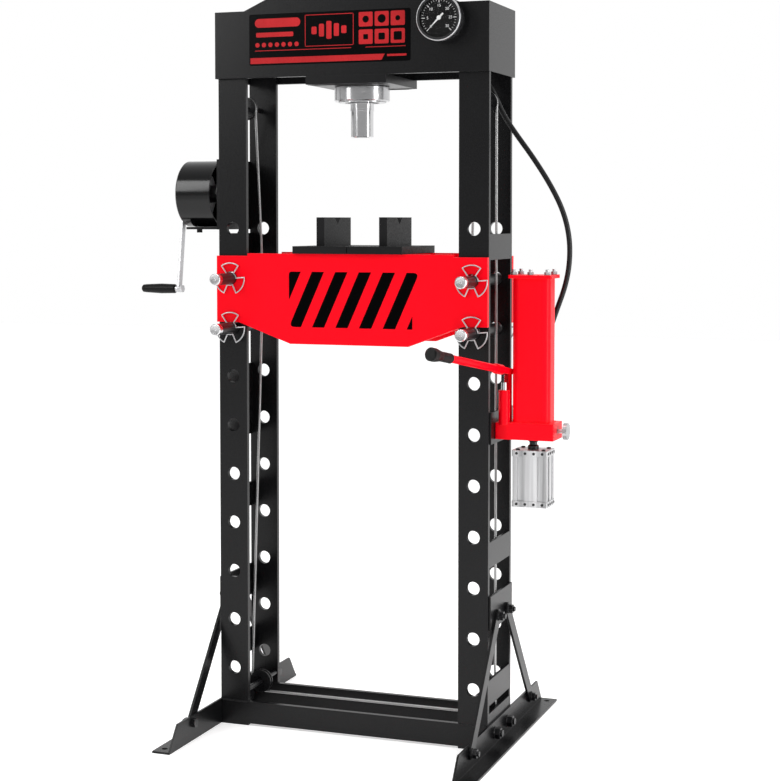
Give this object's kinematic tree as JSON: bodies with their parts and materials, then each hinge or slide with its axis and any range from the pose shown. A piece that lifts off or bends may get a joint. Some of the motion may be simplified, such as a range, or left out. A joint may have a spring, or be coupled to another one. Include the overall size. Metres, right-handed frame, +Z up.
{
  "type": "hydraulic workshop press",
  "caption": "Floor-standing H-frame workshop press with an air-driven hand pump, a winch-raised bed on cross pins, loose vee blocks and a pressure gauge.",
  "frame": {"origin": "on the floor, under the middle of the whole press", "axes": "+Z up, the front with the gauge faces -Y, the pump is on the +X side"},
  "size_m": [1.1134, 0.75, 1.794],
  "materials": {
    "block_steel": "matt",
    "dial_face": "matt",
    "frame_paint": "satin",
    "gauge_glass": "clear",
    "gauge_steel": "satin",
    "grip_plastic": "matt",
    "hose_rubber": "matt",
    "motor_aluminium": "satin",
    "needle_paint": "matt",
    "pulley_steel": "satin",
    "ram_chrome": "polished",
    "red_paint": "gloss",
    "turned_steel": "satin",
    "wire_rope": "satin",
    "zinc_steel": "satin"
  },
  "bodies": {
    "frame": {"air_motor": "motor_aluminium", "base_beam_front": "frame_paint", "base_beam_rear": "frame_paint", "battens": "frame_paint", "bed_front": "red_paint", "bed_rear": "red_paint", "bed_spacers": "red_paint", "braces": "frame_paint", "cap_nuts": "zinc_steel", "cylinder_barrel": "turned_steel", "cylinder_plate": "frame_paint", "end_clips": "zinc_steel", "foot_left": "frame_paint", "foot_right": "frame_paint", "frame_bolts": "zinc_steel", "gauge_case": "gauge_steel", "gauge_dial": "dial_face", "gauge_glass": "gauge_glass", "head_ends": "frame_paint", "head_front": "frame_paint", "head_rear": "frame_paint", "hose": "hose_rubber", "hose_fittings": "zinc_steel", "lift_ropes": "wire_rope", "motor_link": "zinc_steel", "post_left_front": "frame_paint", "post_left_rear": "frame_paint", "post_right_front": "frame_paint", "post_right_rear": "frame_paint", "pulley_axles": "zinc_steel", "pump_base": "red_paint", "pump_cap": "red_paint", "pump_tank": "red_paint", "ring_nut": "turned_steel", "vee_block_left": "block_steel", "vee_block_right": "block_steel", "winch_bracket": "frame_paint", "winch_cover": "frame_paint"},
    "ram_body": {"ram": "ram_chrome", "ram_nose": "ram_chrome"},
    "winch": {"winch_drum": "zinc_steel", "crank_arm": "zinc_steel"},
    "grip": {"crank_grip": "grip_plastic"},
    "lever": {"pump_lever": "red_paint", "lever_grip": "grip_plastic"},
    "plunger": {"pump_plunger": "turned_steel"},
    "knob": {"release_knob": "zinc_steel"},
    "needle": {"gauge_needle": "needle_paint"},
    "pin_left_upper_body": {"pin_left_upper": "turned_steel", "clip_left_upper": "zinc_steel"},
    "pin_left_lower_body": {"pin_left_lower": "turned_steel", "clip_left_lower": "zinc_steel"},
    "pulley_left_top_body": {"pulley_left_top": "pulley_steel"},
    "pulley_left_low_body": {"pulley_left_low": "pulley_steel"},
    "pin_right_upper_body": {"pin_right_upper": "turned_steel", "clip_right_upper": "zinc_steel"},
    "pin_right_lower_body": {"pin_right_lower": "turned_steel", "clip_right_lower": "zinc_steel"},
    "pulley_right_top_body": {"pulley_right_top": "pulley_steel"},
    "pulley_right_low_body": {"pulley_right_low": "pulley_steel"}
  },
  "joints": [
    {"name": "ram_slide", "type": "slide", "parent": "frame", "child": "ram_body", "axis": [0, 0, -1], "range_m": [0, 0.145]},
    {"name": "pin_left_upper_slide", "type": "slide", "parent": "frame", "child": "pin_left_upper_body", "axis": [0, -1, 0], "range_m": [0, 0.26]},
    {"name": "pin_left_lower_slide", "type": "slide", "parent": "frame", "child": "pin_left_lower_body", "axis": [0, -1, 0], "range_m": [0, 0.26]},
    {"name": "pin_right_upper_slide", "type": "slide", "parent": "frame", "child": "pin_right_upper_body", "axis": [0, 1, 0], "range_m": [0, 0.31]},
    {"name": "pin_right_lower_slide", "type": "slide", "parent": "frame", "child": "pin_right_lower_body", "axis": [0, 1, 0], "range_m": [0, 0.31]},
    {"name": "crank_spin", "type": "hinge", "parent": "frame", "child": "winch", "pos_m": [-0.45275, 0.0253, 1.308], "axis": [1, 0, 0], "continuous": true},
    {"name": "grip_spin", "type": "hinge", "parent": "winch", "child": "grip", "pos_m": [-0.50675, -0.00949, 1.06952], "axis": [1, 0, 0], "continuous": true},
    {"name": "pulley_left_top_spin", "type": "hinge", "parent": "frame", "child": "pulley_left_top_body", "pos_m": [-0.27075, 0, 1.518], "axis": [0, 1, 0], "continuous": true},
    {"name": "pulley_left_low_spin", "type": "hinge", "parent": "frame", "child": "pulley_left_low_body", "pos_m": [-0.23475, 0, 0.087], "axis": [0, 1, 0], "continuous": true},
    {"name": "pulley_right_top_spin", "type": "hinge", "parent": "frame", "child": "pulley_right_top_body", "pos_m": [0.35125, 0, 1.518], "axis": [0, 1, 0], "continuous": true},
    {"name": "pulley_right_low_spin", "type": "hinge", "parent": "frame", "child": "pulley_right_low_body", "pos_m": [0.35125, 0, 0.087], "axis": [0, 1, 0], "continuous": true},
    {"name": "lever_pivot", "type": "hinge", "parent": "frame", "child": "lever", "pos_m": [0.41725, -0.031, 0.888], "axis": [-0.9681, 0.2504, 0], "range_deg": [-30, 5]},
    {"name": "plunger_slide", "type": "slide", "parent": "frame", "child": "plunger", "axis": [0, 0, 1], "range_m": [-0.012, 0.0022]},
    {"name": "release_turn", "type": "hinge", "parent": "frame", "child": "knob", "pos_m": [0.54325, -0.0175, 0.7505], "axis": [1, 0, 0], "range_deg": [0, 180]},
    {"name": "needle_turn", "type": "hinge", "parent": "frame", "child": "needle", "pos_m": [0.28025, -0.146, 1.705], "axis": [0, 1, 0], "range_deg": [0, 270], "stiffness_Nm_per_rad": 0.0005, "springref_deg": -17.19}
  ],
  "couplings": [
    {"joint": "pulley_left_top_spin", "follows": "crank_spin", "ratio": -1.012},
    {"joint": "pulley_left_low_spin", "follows": "crank_spin", "ratio": 1.012},
    {"joint": "pulley_right_top_spin", "follows": "crank_spin", "ratio": 1.012},
    {"joint": "pulley_right_low_spin", "follows": "crank_spin", "ratio": 1.012},
    {"joint": "plunger_slide", "follows": "lever_pivot", "m_per_rad": 0.022}
  ]
}
